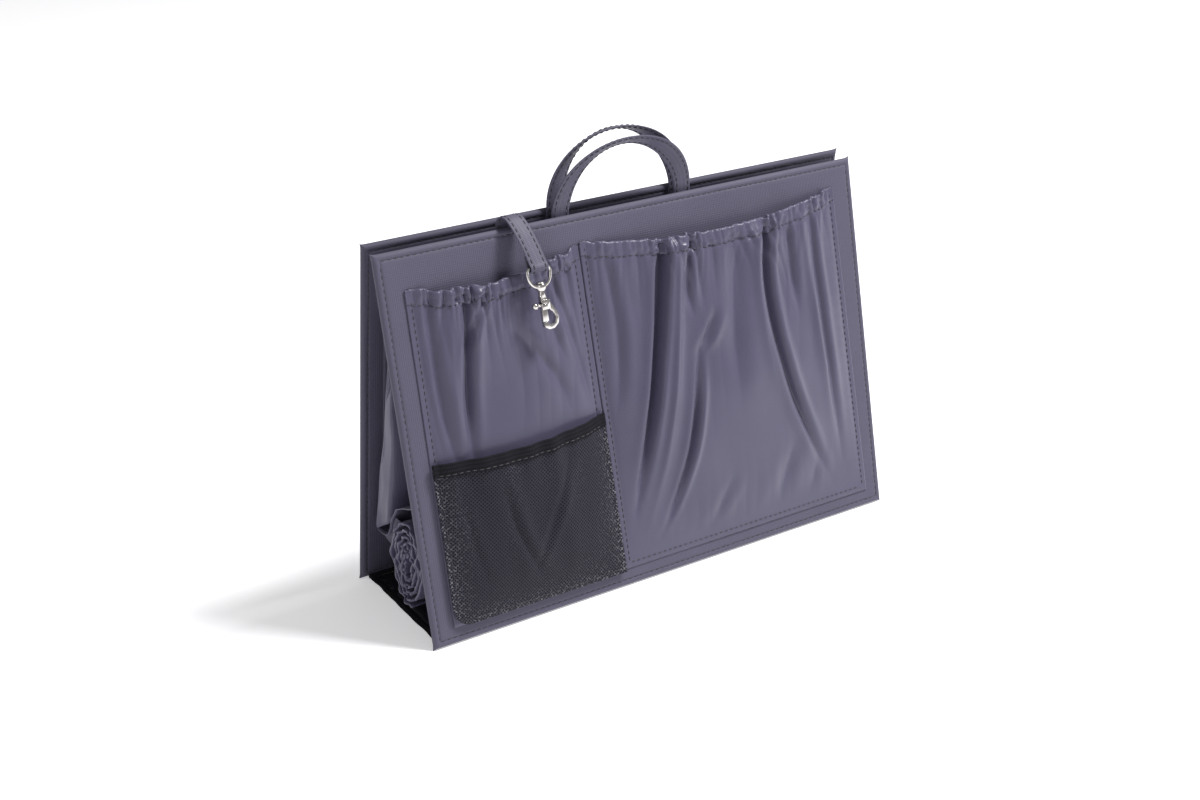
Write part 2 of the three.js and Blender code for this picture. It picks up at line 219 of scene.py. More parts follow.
def woven(name, colour, shade, thread, rough, sheen, relief):
    """Plain woven nylon: warp and weft cross every thread millimetres, between two close colours."""
    made, tree, shader = blank(name)
    where = add(tree, "ShaderNodeTexCoord").outputs["UV"]
    scale = WAVE / (thread * MM)
    warp = add(tree, "ShaderNodeTexWave", {"Vector": where, "Scale": scale}, bands_direction="X")
    weft = add(tree, "ShaderNodeTexWave", {"Vector": where, "Scale": scale}, bands_direction="Y")
    cross = add(tree, "ShaderNodeMath", {0: warp.outputs["Fac"], 1: weft.outputs["Fac"]}, operation="ADD")
    slow = add(tree, "ShaderNodeTexNoise", {"Vector": where, "Scale": 28, "Detail": 3})
    slub = add(tree, "ShaderNodeTexNoise", {"Vector": where, "Scale": 900, "Detail": 2})
    patch = add(tree, "ShaderNodeMath", {0: slow.outputs["Fac"], 1: 0.55}, operation="MULTIPLY")
    grain = add(tree, "ShaderNodeMath", {0: cross.outputs[0], 1: 0.22, 2: patch.outputs[0]},
                operation="MULTIPLY_ADD")
    mixed = two_tone(tree, grain.outputs[0], shade, colour)
    bumps = add(tree, "ShaderNodeMath", {0: slub.outputs["Fac"], 1: 0.6, 2: cross.outputs[0]},
                operation="MULTIPLY_ADD")
    cover_with(tree, shader, mixed, bumps.outputs[0], relief, 0.2 * MM, rough, 0.32)
    shader.inputs["Sheen Weight"].default_value = sheen
    shader.inputs["Sheen Roughness"].default_value = 0.45
    return made


# The real threads are 0.2 mm apart, too fine to show, so they are drawn four to five times as coarse.
cover_nylon = woven("woven_cover_nylon", "#575467", "#464354", 1.0, 0.60, 0.06, 0.25)
lining_nylon = woven("woven_lining_nylon", "#504d5f", "#403d4d", 1.0, 0.64, 0.05, 0.25)
pocket_nylon = woven("calendered_pocket_nylon", "#565369", "#464356", 0.9, 0.34, 0.06, 0.10)
strap_nylon = woven("folded_strap_nylon", "#5a576a", "#474454", 0.9, 0.55, 0.06, 0.3)
mat_nylon = woven("coated_mat_nylon", "#5a5770", "#454257", 0.9, 0.38, 0.08, 0.15)
print("five woven cloths")


# %% Net, binding, thread and metal
def ribbed(name, colour, shade, rib):
    """Elastic binding: fine ribs across the tape, almost black."""
    made, tree, shader = blank(name)
    where = add(tree, "ShaderNodeTexCoord").outputs["UV"]
    scale = WAVE / (rib * MM)
    ribs = add(tree, "ShaderNodeTexWave", {"Vector": where, "Scale": scale}, bands_direction="X")
    cross = add(tree, "ShaderNodeTexWave", {"Vector": where, "Scale": scale / 2}, bands_direction="Y")
    both = add(tree, "ShaderNodeMath", {0: ribs.outputs["Fac"], 1: cross.outputs["Fac"]},
               operation="MULTIPLY")
    mixed = two_tone(tree, both.outputs[0], shade, colour)
    cover_with(tree, shader, mixed, both.outputs[0], 0.6, 0.3 * MM, 0.7, 0.15)
    return made


def netting(name, yarn, hole, cell):
    """Warp-knitted net: holes in slanting rows, and painted glints of light on the yarn, strongest near the
    sewn edges.
    """
    made, tree, shader = blank(name)
    where = add(tree, "ShaderNodeTexCoord").outputs["UV"]
    slanted = add(tree, "ShaderNodeMapping", {"Vector": where, "Rotation": (0, 0, math.radians(52))})
    cells = add(tree, "ShaderNodeTexVoronoi", {"Vector": slanted.outputs["Vector"],
                                               "Scale": 1 / (cell * MM), "Randomness": 0.18},
                feature="DISTANCE_TO_EDGE", voronoi_dimensions="2D")
    edge = add(tree, "ShaderNodeMapRange", {"Value": cells.outputs["Distance"], "From Min": 0.10,
                                            "From Max": 0.24, "To Min": 1.0, "To Max": 0.0})
    glint = add(tree, "ShaderNodeTexNoise", {"Vector": where, "Scale": 520, "Detail": 2})
    # The point attribute named stretch holds where light is painted on the yarn: the share of painted glints.
    painted_glint_share = add(tree, "ShaderNodeAttribute", attribute_name="stretch").outputs["Fac"]
    bright = add(tree, "ShaderNodeMapRange", {"Value": glint.outputs["Fac"], "From Min": 0.48,
                                              "From Max": 0.62})
    painted_glints = add(tree, "ShaderNodeMath", {0: bright.outputs["Result"], 1: painted_glint_share}, operation="MULTIPLY")
    # 8e8d93 is a painted highlight: pale specks of lit yarn mixed into the net's colour.
    lit = two_tone(tree, painted_glints.outputs[0], yarn, "#8e8d93")
    mixed = two_tone(tree, edge.outputs["Result"], hole, yarn)
    tree.links.new(lit.outputs["Result"], mixed.inputs["B"])
    lift = add(tree, "ShaderNodeMath", {0: glint.outputs["Fac"], 1: edge.outputs["Result"]},
               operation="MULTIPLY")
    cover_with(tree, shader, mixed, lift.outputs[0], 0.8, 0.4 * MM, 0.5, 0.12)
    return made


def plain(name, colour, rough, metallic=0.0, grit=0.0):
    """Thread, sheet plastic or plated metal: one colour with a fine grit in its gloss."""
    made, tree, shader = blank(name)
    where = add(tree, "ShaderNodeTexCoord").outputs["Object"]
    specks = add(tree, "ShaderNodeTexNoise", {"Vector": where, "Scale": 700, "Detail": 3})
    gloss = add(tree, "ShaderNodeMapRange", {"Value": specks.outputs["Fac"], "To Min": rough * 0.8,
                                             "To Max": rough * 1.25})
    raised = add(tree, "ShaderNodeBump", {"Height": specks.outputs["Fac"], "Strength": grit,
                                          "Distance": 0.2 * MM})
    tree.links.new(gloss.outputs["Result"], shader.inputs["Roughness"])
    tree.links.new(raised.outputs["Normal"], shader.inputs["Normal"])
    shader.inputs["Base Color"].default_value = swatch(colour)
    shader.inputs["Metallic"].default_value = metallic
    return made


binding_tape = ribbed("ribbed_elastic_binding", "#211f28", "#0d0c11", 1.1)
pocket_net = netting("knitted_pocket_net", "#302f39", "#14131a", 1.7)
base_net = netting("knitted_base_net", "#26252e", "#0f0e14", 1.5)
thread = plain("bonded_polyester_thread", "#332f33", 0.6, grit=0.3)
board_sheet = plain("pressed_polypropylene_board", "#3a3a3e", 0.5, grit=0.2)
nickel = plain("bright_nickel_plate", "#cdc9c6", 0.16, metallic=1.0)
print("net, binding, thread, board and nickel")

# %% [markdown]
# ## From a flat grid to a piece of cloth
# Every cloth piece starts as a grid primitive. Each of its points is then placed by a small
# function, as a machinist lays cloth on a form, and Solidify gives it a cloth's thickness. The
# grid's UV map is kept in metres, so threads keep their spacing round every fold.

# %% Cloth helpers
def lines(low, high, step, fine):
    """Places of the grid lines from low to high. fine holds the distances of close lines from each end."""
    edge = np.asarray(fine, float)
    inner_low, inner_high = low + edge[-1], high - edge[-1]
    count = max(2, int(round((inner_high - inner_low) / step)) + 1)
    middle = np.linspace(inner_low, inner_high, count)
    return np.concatenate([low + edge[:-1], middle, (high - edge[:-1])[::-1]])


def cloth(name, place, across, along, material, size, thick=CLOTH, offset=-1):
    """A sheet whose points are place(a, b), for a in across and b in along. size is its UV map in mm."""
    across, along = np.asarray(across, float), np.asarray(along, float)
    columns, rows = len(across) - 1, len(along) - 1
    bpy.ops.mesh.primitive_grid_add(x_subdivisions=columns, y_subdivisions=rows, size=1)
    piece = bpy.context.object
    piece.name = piece.data.name = name
    mesh = piece.data
    flat = np.empty(len(mesh.vertices) * 3)
    mesh.vertices.foreach_get("co", flat)
    flat = flat.reshape(-1, 3) + 0.5
    a = np.interp(flat[:, 0] * columns, np.arange(columns + 1), across)
    b = np.interp(flat[:, 1] * rows, np.arange(rows + 1), along)
    mesh.vertices.foreach_set("co", place(a, b).ravel())
    layer = mesh.uv_layers.active
    uv = np.empty(len(layer.data) * 2)
    layer.data.foreach_get("uv", uv)
    layer.data.foreach_set("uv", (uv.reshape(-1, 2) * size * MM).ravel())
    mesh.update()
    if thick:
        finish_with(piece, "SOLIDIFY", thickness=thick * MM, offset=offset)
    bpy.ops.object.shade_smooth()
    mesh.materials.append(material)
    bpy.ops.object.select_all(action="DESELECT")
    return piece


def finish_with(piece, kind, **settings):
    """Puts one modifier on a piece and applies it."""
    bpy.context.view_layer.objects.active = piece
    piece.select_set(True)
    made = piece.modifiers.new(kind.lower(), kind)
    for key, value in settings.items():
        setattr(made, key, value)
    bpy.ops.object.modifier_apply(modifier=made.name)


def close_tube(piece):
    """Merges a tube's seam, fills its ends and turns its faces outward."""
    bpy.context.view_layer.objects.active = piece
    piece.select_set(True)
    bpy.ops.object.mode_set(mode="EDIT")
    bpy.ops.mesh.select_all(action="SELECT")
    bpy.ops.mesh.remove_doubles(threshold=0.02 * MM)
    bpy.ops.mesh.fill_holes(sides=0)
    bpy.ops.mesh.select_all(action="SELECT")
    bpy.ops.mesh.normals_make_consistent(inside=False)
    bpy.ops.object.mode_set(mode="OBJECT")
    bpy.ops.object.shade_smooth_by_angle(angle=math.radians(50))
    bpy.ops.object.select_all(action="DESELECT")
    return piece


def fitted(piece, body, nodes):
    """Puts a piece on its body and in place of its plain CAD nodes."""
    if body:
        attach(piece, body)
    if nodes:
        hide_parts(*nodes)
    print(piece.name, len(piece.data.polygons), "faces")
    return piece


# %% [markdown]
# ## Stitches
# Lockstitch shows as short bars of thread, 3.1 mm long, sunk a little at both ends. One bar is
# modelled and laid again and again along each seam, so a seam catches the light as thread does.

# %% Stitch helper
STITCH, PITCH, YARN = 3.1, 4.0, 0.32
SUNK = 0.28


def stitch_bar():
    """One bar of thread along X: a small sphere stretched, with its ends dipping into the cloth."""
    bpy.ops.mesh.primitive_uv_sphere_add(segments=6, ring_count=5, radius=0.5,
                                         rotation=(0, math.pi / 2, 0))
    bar = bpy.context.object
    bpy.ops.object.transform_apply(location=False, rotation=True, scale=False)
    points = np.array([v.co for v in bar.data.vertices])
    faces = [list(f.vertices) for f in bar.data.polygons]
    bpy.data.objects.remove(bar)
    points = points * (STITCH, 2 * YARN, 2 * YARN)
    points[:, 2] -= SUNK * (2 * points[:, 0] / STITCH) ** 2
    return points, faces


BAR_POINTS, BAR_FACES = stitch_bar()


def seam(name, runs, body):
    """Bars of thread along each run of (points, outward): places in metres and the cloth's normals."""
    points, faces = [], []
    for path, outward in runs:
        path, outward = np.asarray(path, float), np.asarray(outward, float)
        step = np.linalg.norm(np.diff(path, axis=0), axis=1)
        reach = np.concatenate([[0], np.cumsum(step)])
        for place in np.arange(PITCH / 2, reach[-1] / MM - PITCH / 2, PITCH) * MM:
            here = np.array([np.interp(place, reach, path[:, k]) for k in range(3)])
            ahead_of = [np.interp(min(place + MM, reach[-1]), reach, path[:, k]) for k in range(3)]
            forward = np.array(ahead_of) - here
            up = np.array([np.interp(place, reach, outward[:, k]) for k in range(3)])
            forward /= np.linalg.norm(forward) or 1
            up -= forward * up.dot(forward)
            up /= np.linalg.norm(up) or 1
            turn = np.stack([forward, np.cross(up, forward), up])
            faces += [[len(points) * len(BAR_POINTS) + i for i in face] for face in BAR_FACES]
            points.append(here + (BAR_POINTS * MM) @ turn)
    mesh = bpy.data.meshes.new(name)
    mesh.from_pydata(np.concatenate(points).tolist(), [], faces)
    mesh.materials.append(thread)
    mesh.shade_smooth()
    piece = bpy.data.objects.new(name, mesh)
    bpy.context.scene.collection.objects.link(piece)
    if body:
        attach(piece, body)
    print(name, len(points), "stitches")
    return piece


STEP_B = 0.002


def on_sheet(place, a, b, lift=0.12, step_a=0.00002):
    """A run of points on a cloth's function, with its normals, for a seam along arrays a and b."""
    a, b = np.broadcast_arrays(np.asarray(a, float), np.asarray(b, float))
    here = place(a, b)
    slope_a = place(a + step_a, b) - here
    slope_b = place(a, b + STEP_B) - here
    normal = np.cross(slope_a, slope_b)
    normal /= np.linalg.norm(normal, axis=1, keepdims=True) + 1e-12
    return here + normal * lift * MM, normal


print("a stitch has", len(BAR_FACES), "faces")

# %% [markdown]
# ## The panels' covers
# Each panel is a stiff board sewn into woven nylon: an outer cover and an inner lining, turned over
# the board's edge and stitched 4 mm in. The two cloths are drawn as shallow trays that meet half way
# up the edge, with a groove pulled in by the stitches and a slight swell between them.

# %% Covers
RIM = THICK / 2
CORNER = 3.0
GROOVE = 4.0


def tray(panel, outer, seed):
    """place(x, v) of one cloth of a panel: it rises from the rim's middle, rounds over and runs flat."""
    def place(x, v):
        dx, dv = HALF - np.abs(x), HEIGHT / 2 - np.abs(v - HEIGHT / 2)
        inset_x, inset_v = (np.clip(CORNER - d, 0, CORNER) / CORNER for d in (dx, dv))
        round_x = inset_x * np.sqrt(1 - inset_v ** 2 / 2)
        round_v = inset_v * np.sqrt(1 - inset_x ** 2 / 2)
        x = x - np.sign(x) * (round_x - inset_x) * CORNER
        v = v - np.sign(v - HEIGHT / 2) * (round_v - inset_v) * CORNER
        depth = np.where((dx < CORNER) & (dv < CORNER), CORNER * (1 - np.hypot(round_x, round_v)),
                         np.minimum(dx, dv))
        depth = np.maximum(depth, 0)
        over_rim = np.sqrt(np.clip(1 - (1 - np.minimum(depth / RIM, 1)) ** 2, 0, 1))
        level = RIM * over_rim
        level = level - 0.45 * np.exp(-((depth - GROOVE) / 0.55) ** 2)
        level = level + 0.16 * wander(x, v, seed, 70) * rise(1, 12, depth)
        level = level + 0.10 * wander(x, v, seed + 1, 9) * np.exp(-((depth - GROOVE) / 3.0) ** 2)
        middle = RIM - 0.02
        return panel(x, v, middle + level * (1 if outer else -1))
    return place


EDGE_LINES = (0, 0.15, 0.5, 1.1, 1.9, 2.7, 3.4, 3.75, 4.0, 4.25, 4.7, 5.6, 7.5)


def cover(node, panel, outer, body, material, seed):
    """One cloth of a panel, in place of its CAD node. Returns its place function for the seams."""
    lines_x, lines_v = lines(-HALF, HALF, 4, EDGE_LINES), lines(0, HEIGHT, 4, EDGE_LINES)
    if not outer:
        lines_x = lines_x[::-1]
    place = tray(panel, outer, seed)
    piece = cloth(node + "_cloth", place, lines_x, lines_v, material, (WIDTH, HEIGHT))
    fitted(piece, body, [node])
    return place


panel_faces = []
for side_name, panel, first in (("front", front, 11), ("back", back, 13)):
    body = side_name + "_panel"
    outside = cover(side_name + "_cover", panel, True, body, cover_nylon, first)
    inside = cover(side_name + "_lining", panel, False, body, lining_nylon, first + 1)
    panel_faces += [(side_name + "_cover", outside, 1), (side_name + "_lining", inside, -1)]


# %% Cover seams
def outline_runs(place, turned):
    """The four straight runs of a panel's edge stitching, 4 mm in from its rim."""
    low_x, high_x, low_v, high_v = -HALF + GROOVE, HALF - GROOVE, GROOVE, HEIGHT - GROOVE
    xs, vs = np.linspace(low_x, high_x, 140), np.linspace(low_v, high_v, 100)
    sides = [(xs, np.full_like(xs, low_v)), (xs, np.full_like(xs, high_v)),
             (np.full_like(vs, low_x), vs), (np.full_like(vs, high_x), vs)]
    runs = []
    for a, b in sides:
        here, normal = on_sheet(place, a, b, lift=0.12 * turned, step_a=STEP_B)
        runs.append((here, normal * turned))
    return runs


for name, face, turned in panel_faces:
    seam(name + "_stitches", outline_runs(face, turned), name.split("_")[0] + "_panel")

# %% [markdown]
# ## Gathered pockets
# A pocket is a bag of thin nylon, wider than its place on the panel. Its mouth is a casing with
# elastic inside, which gathers the spare width into puckers; they run down as folds that widen and
# die out in the belly. The sides and foot are sewn flat. The fall of a few long folds is drawn as a
# stylist lays them, and the small puckers come from soft waves that fade below the casing.

# %% Pocket functions
def swell(s, t, belly, mouth, bays=1):
    """How far a filled pocket stands out, at share s of its width and share t of its height."""
    full = belly * np.sin(np.minimum(t / 0.45, 1) * math.pi / 2)
    share = rise(0.45, 1, t)
    return np.abs(np.sin(math.pi * bays * s)) ** 0.7 * (full * (1 - share) + mouth * share)


NEAR_CASING = 190


def fold(x, v, course, depth, width, ridge):
    """A long fold: a sharp valley along a course of (v, x) points between two soft ridges."""
    vs, xs = np.array(course, float).T
    line = np.polyval(np.polyfit(vs, xs, min(3, len(vs) - 1)), np.clip(v, vs.min(), vs.max()))
    reach = vs.max() - vs.min()
    fade = 10 if vs.max() > NEAR_CASING else 8 + 0.5 * reach
    strength = rise(vs.min() - 0.1 * reach, vs.min() + 0.45 * reach, v)
    strength = strength * rise(8, 8 - fade, v - vs.max())
    off = x - line
    valley = -depth * np.exp(-np.abs(off / width) ** 1.5)
    crest = ridge * np.exp(-((off - 2.0 * width) / (1.5 * width)) ** 2)
    crest += 0.6 * ridge * np.exp(-((off + 2.2 * width) / (1.8 * width)) ** 2)
    return strength * (valley + crest)


def puckers(x, v, top, seed, depths, lengths, waves):
    """Gathers under a casing: fine ones close to it, coarser ones reaching further down."""
    draw = np.random.default_rng(seed)
    down = np.maximum(top - v, 0)
    total = 0
    for depth, length, spacing in zip(depths, lengths, waves):
        phase, lean = draw.uniform(0, 6.28), draw.uniform(-0.12, 0.12)
        drift = spacing * 0.9 * wander(x / spacing, down / (2.5 * spacing), seed + int(spacing * 10), 5)
        wave = np.abs(np.sin(math.pi * (x + lean * down + drift) / spacing + phase)) ** 0.8
        patchy = 0.65 + 0.55 * wander(x, v * 0.4, seed + 7 + int(spacing), 38)
        total = total + depth * patchy * np.exp(-(down / length) ** 1.3) * (wave - 0.6)
    return total


POCKET_TOP = 218
LIFT = 5.2
SIDE_FLANGE = 4.5
FOOT_FLANGE = 4
SEAM_INSET = 3.4
ROW = 1.9


def hem_steps(t):
    """Splits t into the face (0 to 1), the turn over the mouth (to 1.1) and the hem inside (to 1.2)."""
    return np.minimum(t, 1), np.clip((t - 1) / 0.1, 0, 1), np.clip((t - 1.1) / 0.1, 0, 1)


def hem_lines(face, turn, fall):
    """Grid lines for the face, the turn and the hem."""
    return np.concatenate([np.linspace(0, 1, face)[:-1], np.linspace(1, 1.1, turn)[:-1],
                           np.linspace(1.1, 1.2, fall)])


class Pocket:
    """A gathered pocket on a panel: its outline, how it swells, its listed folds and its puckers."""

    def __init__(self, panel, left, right, low, top, belly, mouth, folds, seed, bays=1, gather=1.0,
                 bunches=()):
        self.panel, self.left, self.right, self.low, self.top = panel, left, right, low, top
        self.belly, self.mouth, self.bays = belly, mouth, bays
        self.folds, self.seed, self.gather, self.bunches = folds, seed, gather, bunches

    def spread(self, s, v):
        """x at share s of the width, at height v."""
        left, right = (np.interp(v, (0, POCKET_TOP), side) for side in (self.left, self.right))
        return left + (right - left) * s

    def level(self, s, v):
        """How far the cloth lies out from the lining."""
        x, top = self.spread(s, v), self.top(s)
        wide = abs(self.right[0] - self.left[0])
        flange = SIDE_FLANGE / wide
        inner = np.clip((s - flange) / (1 - 2 * flange), 0, 1)
        t = np.clip((v - self.low - FOOT_FLANGE) / (top - self.low - FOOT_FLANGE), 0, 1)
        base = LIFT + swell(inner, t, self.belly, self.mouth, self.bays)
        held = np.abs(np.sin(math.pi * self.bays * inner)) ** 0.5 * rise(0, 0.16, t)
        laid = sum(fold(x, v, *f) for f in self.folds)
        small = puckers(x, v, top - HEM, self.seed, (2.4, 2.0, 1.5), (46, 24, 13), (15, 8.3, 5.1))
        small = small * (0.35 + 0.65 * rise(0.0, 3.0, top - HEM - v + 3)) * (0.3 + 0.55 * self.bunch(x))
        foot = 0.9 * np.exp(-np.maximum(v - self.low - 5, 0) / 15) * (
            np.abs(np.sin(math.pi * (x + 3 * wander(x, v, self.seed + 3, 26)) / 9.5)) - 0.5)
        edge_pull = 0.5 * np.exp(-np.minimum(inner, 1 - inner) * wide / 9)
        edge_pull = edge_pull * wander(v, x * 0.2, self.seed + 5, 11)
        broad = 0.9 * wander(x, v, self.seed + 9, 60)
        out = base + held * (laid + self.gather * small + broad)
        out = out + (foot + edge_pull) * rise(0, 0.02, t) * held
        band = rise(top - HEM - 0.8, top - HEM + 1.2, v)
        ruffle = np.abs(np.sin(math.pi * (x + 2.4 * wander(x, v * 0, self.seed + 4, 13)) / 6.4)) ** 0.7
        crush = 2.3 * (ruffle - 0.45) + 1.2 * wander(x, v, self.seed + 6, 7)
        out = out + held * band * self.gather * self.bunch(x) * crush
        pinch = 1.1 * np.exp(-((v - (top - HEM)) / 0.9) ** 2)
        out = out - pinch * held
        return np.maximum(out, LIFT + 0.25 * held)

    def bunch(self, x):
        """Where the elastic has drawn the cloth into tight bunches, and where it lies smoother between."""
        return 0.45 + sum(1.0 * np.exp(-((x - centre) / 9) ** 2) for centre in self.bunches)

    def rim(self, s):
        """The mouth's edge, which the elastic pulls into small scallops."""
        x = self.spread(s, 215)
        scallop = 0.9 * self.gather * self.bunch(x) * wander(x, 0 * x, self.seed + 8, 6)
        return self.top(s) - CASING - 0.6 + scallop

    def place(self, s, t):
        """The outer face for t up to 1, the turn over the mouth to 1.1, and the hem inside to 1.2."""
        face, turn, fall = hem_steps(t)
        rim = self.rim(s)
        v = self.low + (rim - self.low) * face
        n = self.level(s, v)
        angle = turn * math.pi
        flatten = rise(0, 0.03, s) * rise(0, 0.03, 1 - s)
        n = n - CASING * flatten * (1 - np.cos(angle)) * (1 - 0.45 * fall)
        x = self.spread(s, v)
        v = v + CASING * flatten * np.sin(angle) - (HEM - CASING) * fall
        return self.panel(x, v, np.maximum(n, THICK + 0.35))

    def build(self, node, body, columns=230):
        """The pocket's cloth, in place of its CAD node, and its stitches."""
        rows = int((self.top(0.5) - self.low) / ROW)
        along = hem_lines(rows, 7, 6)
        across = np.concatenate([np.linspace(0, 0.04, 9)[:-1], np.linspace(0.04, 0.96, columns),
                                 np.linspace(0.96, 1, 9)[1:]])
        size = (abs(self.right[0] - self.left[0]) * 1.15, (self.top(0.5) - self.low) * 1.1)
        piece = cloth(node + "_cloth", self.place, across, along, pocket_nylon, size, thick=0.45)
        fitted(piece, body, [node])
        seam(node + "_stitches", self.seam_runs(), body)

    def seam_runs(self):
        """Runs of stitches down both sides, along the foot and under the casing."""
        ts = np.linspace(0.02, 0.99, 120)
        ss = np.linspace(0.02, 0.98, 240)
        inset = SEAM_INSET / abs(self.right[0] - self.left[0])
        low = SEAM_INSET / (self.top(0.5) - self.low)
        mouth = 1 - (HEM - CASING) / (self.rim(ss) - self.low)
        return [on_sheet(self.place, np.full_like(ts, inset), ts),
                on_sheet(self.place, np.full_like(ts, 1 - inset), ts),
                on_sheet(self.place, ss, np.full_like(ss, low)),
                on_sheet(self.place, ss, mouth, lift=0.2)]


print("pocket functions ready")

# %% The large front pocket
large = Pocket(
    front, left=(-36.2, -39.9), right=(159.5, 154.6), low=11,
    top=lambda s: 220 - 10 * np.sin(math.pi * np.clip(s, 0, 1)) ** 0.8,
    belly=12.5, mouth=8.0, seed=21, bunches=(-33, 12, 33, 96, 134, 146),
    folds=[
        ([(203, 14.0), (156, 4.5), (102, -8.0), (45, -25)], 15.0, 2.4, 3.6),
        ([(203, 24.0), (150, 15.0), (90, 2.0), (30, -18.0)], -4.6, 4.2, 0.0),
        ([(148, 32.0), (114, 25.5), (64, 12.0), (20, -12.5)], 5.4, 2.0, 2.8),
        ([(158, 44.0), (146, 38.0), (136, 31.0)], 3.0, 3.0, 1.6),
        ([(203, 92.5), (153, 88.5), (87, 102.0), (28, 128.5)], 5.6, 2.7, 2.8),
        ([(202, 84.0), (150, 79.0), (96, 86.0)], -2.2, 5.0, 0.0),
        ([(198, 110.8), (148, 111.1)], 4.0, 2.6, 1.8),
        ([(203, 131.5), (107, 134.5), (42, 139.5)], 4.8, 2.5, 2.8),
        ([(202, 121.0), (140, 126.0), (80, 131.0)], -2.0, 4.0, 0.0),
        ([(203, -25.0), (160, -22.5), (108, -30.5)], 4.4, 3.0, 2.0),
        ([(205, 35.0), (182, 28.8), (160, 29.5)], 3.2, 2.2, 1.6),
        ([(200, 69.0), (138, 57.8), (100, 56.0)], 2.2, 6.0, 1.6),
        ([(64, 99.0), (40, 90.0), (14, 82.0)], 2.2, 5.5, 1.4),
        ([(50, 46.0), (28, 34.0), (10, 22.0)], 2.0, 4.0, 1.4),
        ([(44, 118.0), (26, 112.0), (10, 108.0)], 1.6, 4.0, 1.0),
    ])
large.build("large_pocket", "front_panel")

# %% The small front pocket
small = Pocket(
    front, left=(-157.5, -156.0), right=(-37.1, -40.8), low=10,
    top=lambda s: 214 + 5 * s - 8.5 * np.sin(math.pi * np.clip(s, 0, 1)) ** 0.8,
    belly=7.0, mouth=6.4, seed=34, gather=0.95, bunches=(-146, -132, -120, -108, -62, -50, -43),
    folds=[
        ([(206, -143.8), (158, -144.5), (108, -141.5)], 7.0, 2.6, 1.6),
        ([(200, -120.5), (143, -127.8), (106, -131.4)], 6.4, 2.5, 2.0),
        ([(208, -153.0), (150, -151.5), (110, -148.0)], 3.4, 2.0, 1.2),
        ([(200, -132.0), (150, -136.0), (108, -137.0)], -1.6, 3.2, 0.0),
        ([(196, -112.0), (183, -120.0), (168, -126.0)], 2.6, 2.2, 1.2),
        ([(178, -95.1), (155, -76.3), (120, -62.0)], 2.4, 4.0, 1.6),
        ([(200, -62.8), (156, -51.9), (112, -44.6)], 3.4, 2.8, 1.8),
        ([(204, -52.0), (170, -49.0), (140, -45.0)], 2.6, 2.2, 1.2),
        ([(200, -72.0), (176, -68.0), (150, -60.0)], 2.0, 2.6, 1.2),
    ])
small.build("small_pocket", "front_panel", columns=160)

# %% [markdown]
# ## Elastic inside the casings
# The elastic can't be seen, but it is what holds each mouth. It is a flat braid that follows its
# casing, half way between the two layers of cloth.

# %% Elastics
ELASTIC = 6.2


def elastic(pocket, name, body):
    """The flat braid inside a pocket's casing."""
    def place(s, q):
        v = pocket.rim(s) - 1.0 - ELASTIC * q
        return pocket.panel(pocket.spread(s, v), v, np.maximum(pocket.level(s, v) - 1.15, THICK + 0.2))
    wide = abs(pocket.right[0] - pocket.left[0])
    piece = cloth(name + "_braid", place, np.linspace(0.03, 0.97, 120), np.linspace(0, 1, 5),
                  binding_tape, (wide, ELASTIC), thick=0.35)
    fitted(piece, body, [name + "_elastic"])


elastic(large, "large_pocket", "front_panel")
elastic(small, "small_pocket", "front_panel")

# %% [markdown]
# ## The net pocket
# A net pocket lies over the lower half of the small pocket. Its mouth is bound with black ribbed
# tape folded over the net's edge; the net itself is cut with a round corner at its outer foot.

# %% Net pocket
NET_LOW, NET_CORNER, TAPE = 10.0, 11.0, 8.0


def net_top(s):
    """The height of the net pocket's mouth at share s of its width."""
    return 109 + 3.5 * s - 1.8 * np.sin(math.pi * s)


def net_level(s, v):
    """The net lies over the small pocket, and is pulled into a few folds that start at its tape."""
    t = np.clip((v - NET_LOW) / (net_top(s) - NET_LOW), 0, 1)
    x = small.spread(s, v)
    inner = np.clip((s - 0.03) / 0.94, 0, 1)
    under = LIFT + swell(inner, np.clip((v - NET_LOW) / 204, 0, 1), small.belly, small.mouth)
    down = np.maximum(net_top(s) - TAPE - v, 0)
    pleat = 1.5 * np.exp(-down / 34) * wander(x, down * 0.12, 52, 15) + 0.9 * wander(x, v * 0.5, 53, 34)
    fan = fold(x, v, [(100, -118), (60, -112), (24, -96)], 1.8, 2.6, 0.9)
    fan = fan + fold(x, v, [(101, -70), (70, -82), (30, -104)], 1.5, 2.4, 0.8)
    fan = fan + fold(x, v, [(100, -143), (60, -140), (30, -134)], 1.6, 2.2, 0.8)
    held = np.abs(np.sin(math.pi * inner)) ** 0.5 * rise(0, 0.2, t)
    return under + 2.3 + swell(inner, t, 5.0, 4.6) + held * (pleat + fan)


def round_foot(s, v, x):
    """Draws the outer lower corner of the net in to a round one."""
    left = small.spread(0 * s, v)
    a, b = (np.clip(NET_CORNER - d, 0, NET_CORNER) / NET_CORNER for d in (x - left, v - NET_LOW))
    inward, upward = (a - a * np.sqrt(1 - b ** 2 / 2), b - b * np.sqrt(1 - a ** 2 / 2))
    return x + inward * NET_CORNER, v + upward * NET_CORNER


def net_place(s, t):
    v = NET_LOW + (net_top(s) - 1 - NET_LOW) * t
    n = net_level(s, v)
    x, v = round_foot(s, v, small.spread(s, v))
    return front(x, v, n)


def tape_place(s, q):
    """The tape goes up the net's outside, turns over its edge and comes down inside."""
    up, turn, down = np.clip(q, 0, 1), np.clip((q - 1) / 0.3, 0, 1), np.clip(q - 1.3, 0, 1)
    v = net_top(s) + 1.0 - TAPE + (TAPE - 0.8) * up + 0.8 * np.sin(math.pi * turn) - (TAPE - 0.8) * down
    out = 0.8 - 0.8 * (1 - np.cos(math.pi * turn))
    ripple = 0.35 * wander(small.spread(s, v), 0 * v, 57, 10)
    n = net_level(s, np.minimum(v, net_top(s) - 0.5)) + out + ripple
    return front(small.spread(s, v), v, n)


